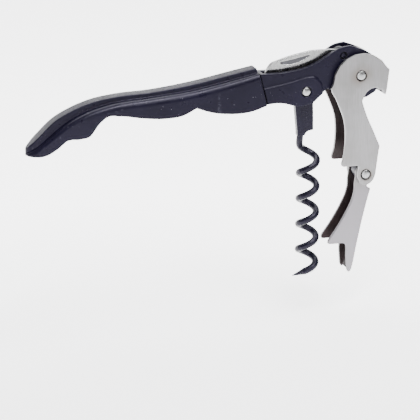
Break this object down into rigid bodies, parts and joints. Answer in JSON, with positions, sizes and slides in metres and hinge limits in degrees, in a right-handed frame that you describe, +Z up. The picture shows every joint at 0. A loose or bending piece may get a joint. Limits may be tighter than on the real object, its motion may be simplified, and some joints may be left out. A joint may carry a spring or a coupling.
{
  "type": "waiters corkscrew",
  "caption": "Folding waiter's corkscrew: black steel handle, coated worm, short foil knife and a hinged two-step steel lever with a bottle opener.",
  "frame": {"origin": "the worm's pivot, on the plane of symmetry, in the pose of use", "axes": "+Z up along the worm's axis, +X from the grip towards the levers, +Y to the back"},
  "size_m": [0.1232, 0.0122, 0.0801],
  "materials": {
    "black_enamel": "satin black enamel over pressed steel",
    "black_coating": "smooth black low-friction coating",
    "brushed_steel": "fine brushed, satin",
    "polished_steel": "polished",
    "washer_nylon": "matte"
  },
  "bodies": {
    "handle": {"handle_body": "black_enamel", "knife_rivet": "black_coating", "knife_washer_front": "washer_nylon", "knife_washer_back": "washer_nylon", "worm_rivet": "polished_steel", "worm_washer_front": "washer_nylon", "worm_washer_back": "washer_nylon", "lever_sleeve": "black_coating"},
    "knife": {"knife_blade": "polished_steel"},
    "worm": {"corkscrew_worm": "black_coating"},
    "lever_pin": {"lever_rivet": "polished_steel"},
    "upper_lever": {"upper_lever": "brushed_steel", "step_rivet": "polished_steel", "step_sleeve": "black_coating"},
    "step_lever": {"step_lever": "brushed_steel"}
  },
  "joints": [
    {"name": "knife_open", "type": "hinge", "parent": "handle", "child": "knife", "pos_m": [0.013, 0, 0.0113], "axis": [0, 1, 0], "range_deg": [0, 125]},
    {"name": "worm_fold", "type": "hinge", "parent": "handle", "child": "worm", "pos_m": [0, 0, 0], "axis": [0, 1, 0], "range_deg": [0, 86]},
    {"name": "lever_fold", "type": "hinge", "parent": "handle", "child": "lever_pin", "pos_m": [0.0187, 0, 0.00465], "axis": [0, 1, 0], "range_deg": [0, 62.75]},
    {"name": "lever_swing", "type": "hinge", "parent": "lever_pin", "child": "upper_lever", "pos_m": [0.0187, 0, 0.00465], "axis": [0, 1, 0], "range_deg": [-40, 0]},
    {"name": "step_hinge", "type": "hinge", "parent": "upper_lever", "child": "step_lever", "pos_m": [0.021, 0, -0.0297], "axis": [0, 1, 0], "range_deg": [-50, 0]}
  ],
  "couplings": [
    {"joint": "worm_fold", "follows": "lever_fold", "ratio": 1.37}
  ]
}
